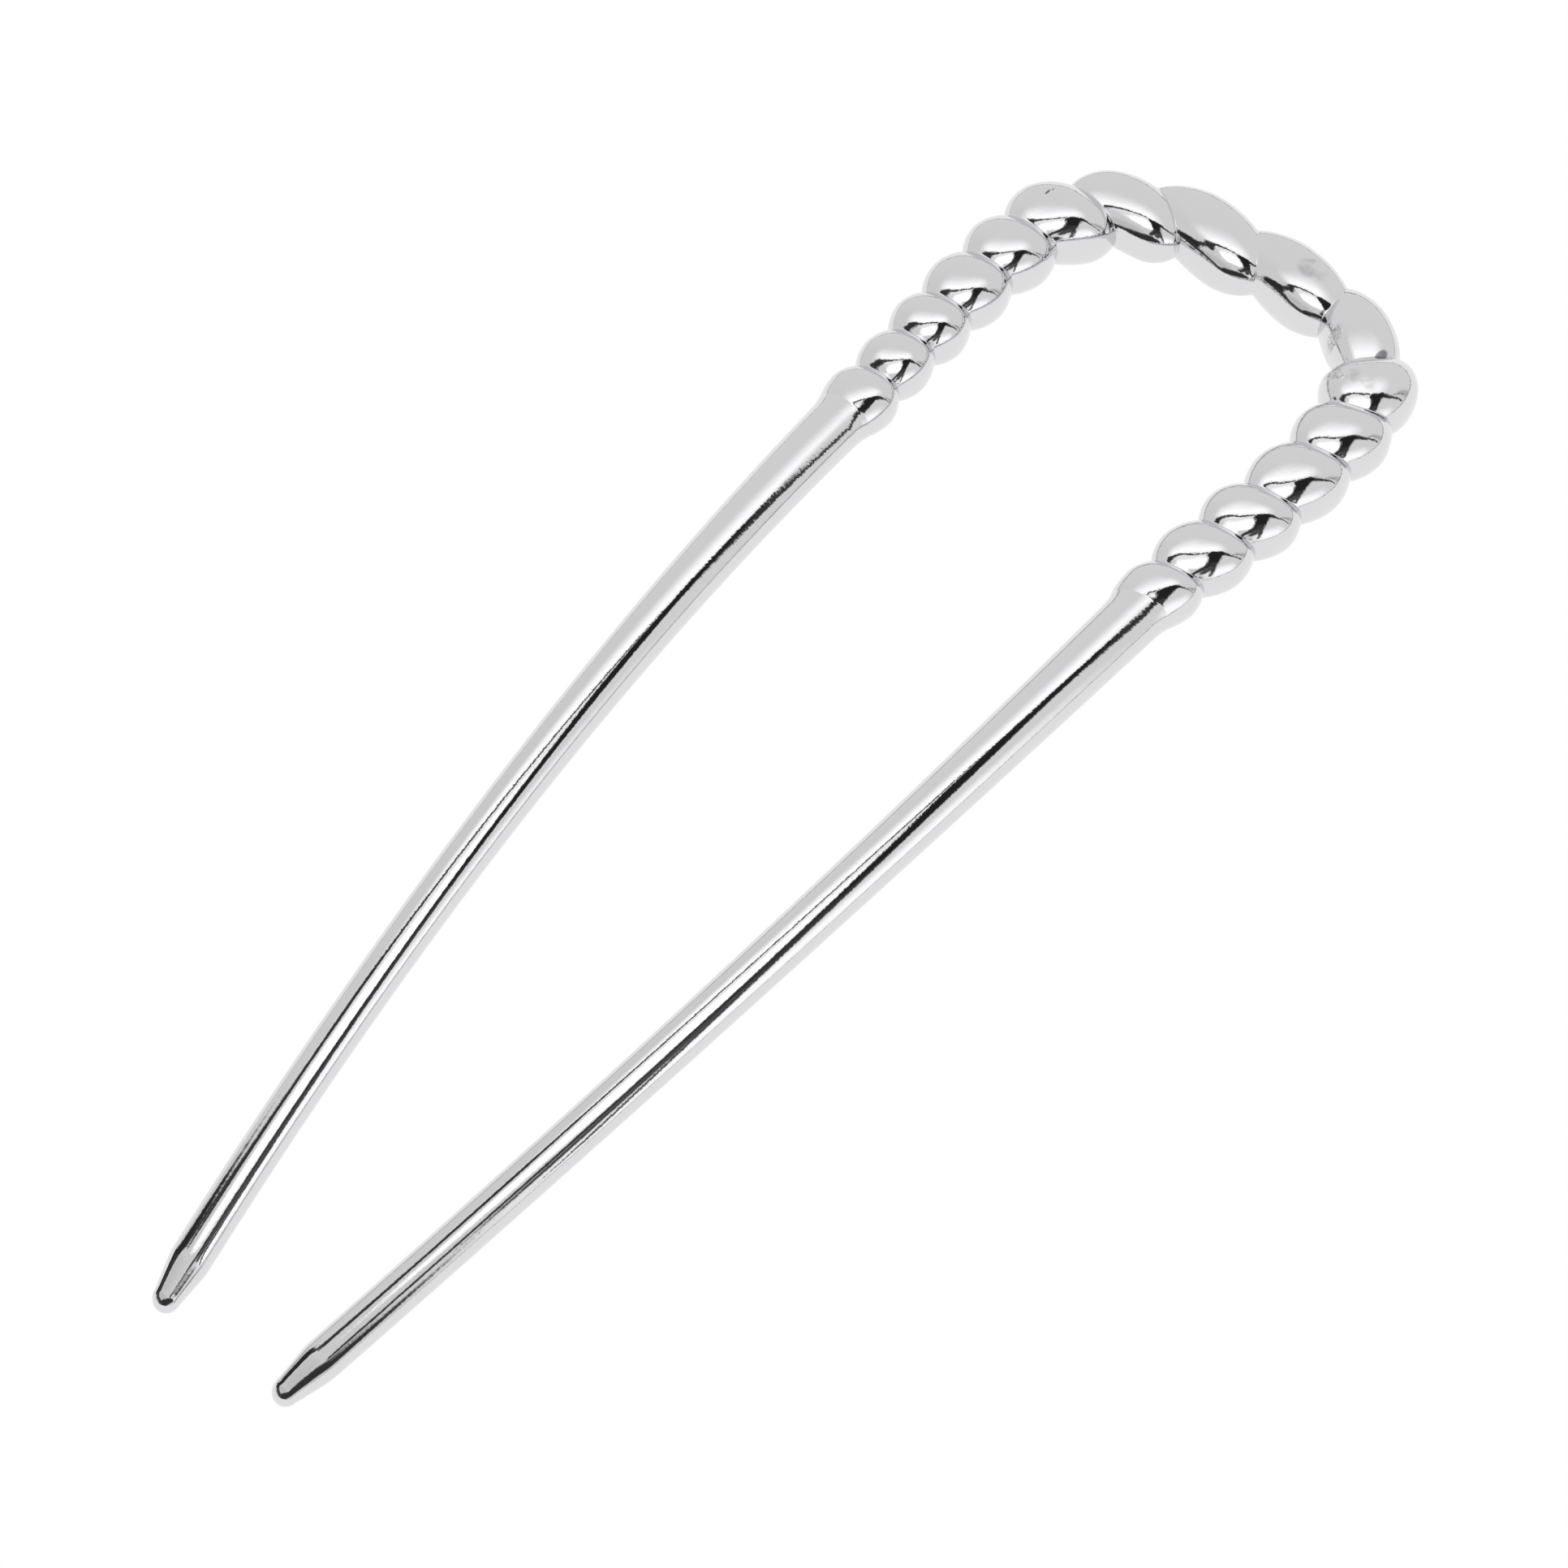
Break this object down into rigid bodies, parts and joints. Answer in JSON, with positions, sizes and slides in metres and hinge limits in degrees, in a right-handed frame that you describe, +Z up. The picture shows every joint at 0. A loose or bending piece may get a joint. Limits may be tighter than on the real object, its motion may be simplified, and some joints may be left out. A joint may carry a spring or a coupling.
{
  "type": "u-shaped hairpin",
  "caption": "U-shaped chrome hairpin with a bow of slanted, swollen beads, two slender prongs that taper and bow outward, and blunt pencil tips.",
  "frame": {"origin": "on the table under the middle of the pin's length and width, as it lies by itself on its tips and bow", "axes": "+Y runs along the pin from its tips to its bow, +X to the prong on the right of the bow seen from above, and +Z up from the table"},
  "size_m": [0.0402, 0.131, 0.0095],
  "materials": {
    "chrome_plate": "polished, with a faint ripple"
  },
  "bodies": {
    "root": {"hairpin": "chrome_plate"}
  },
  "joints": []
}
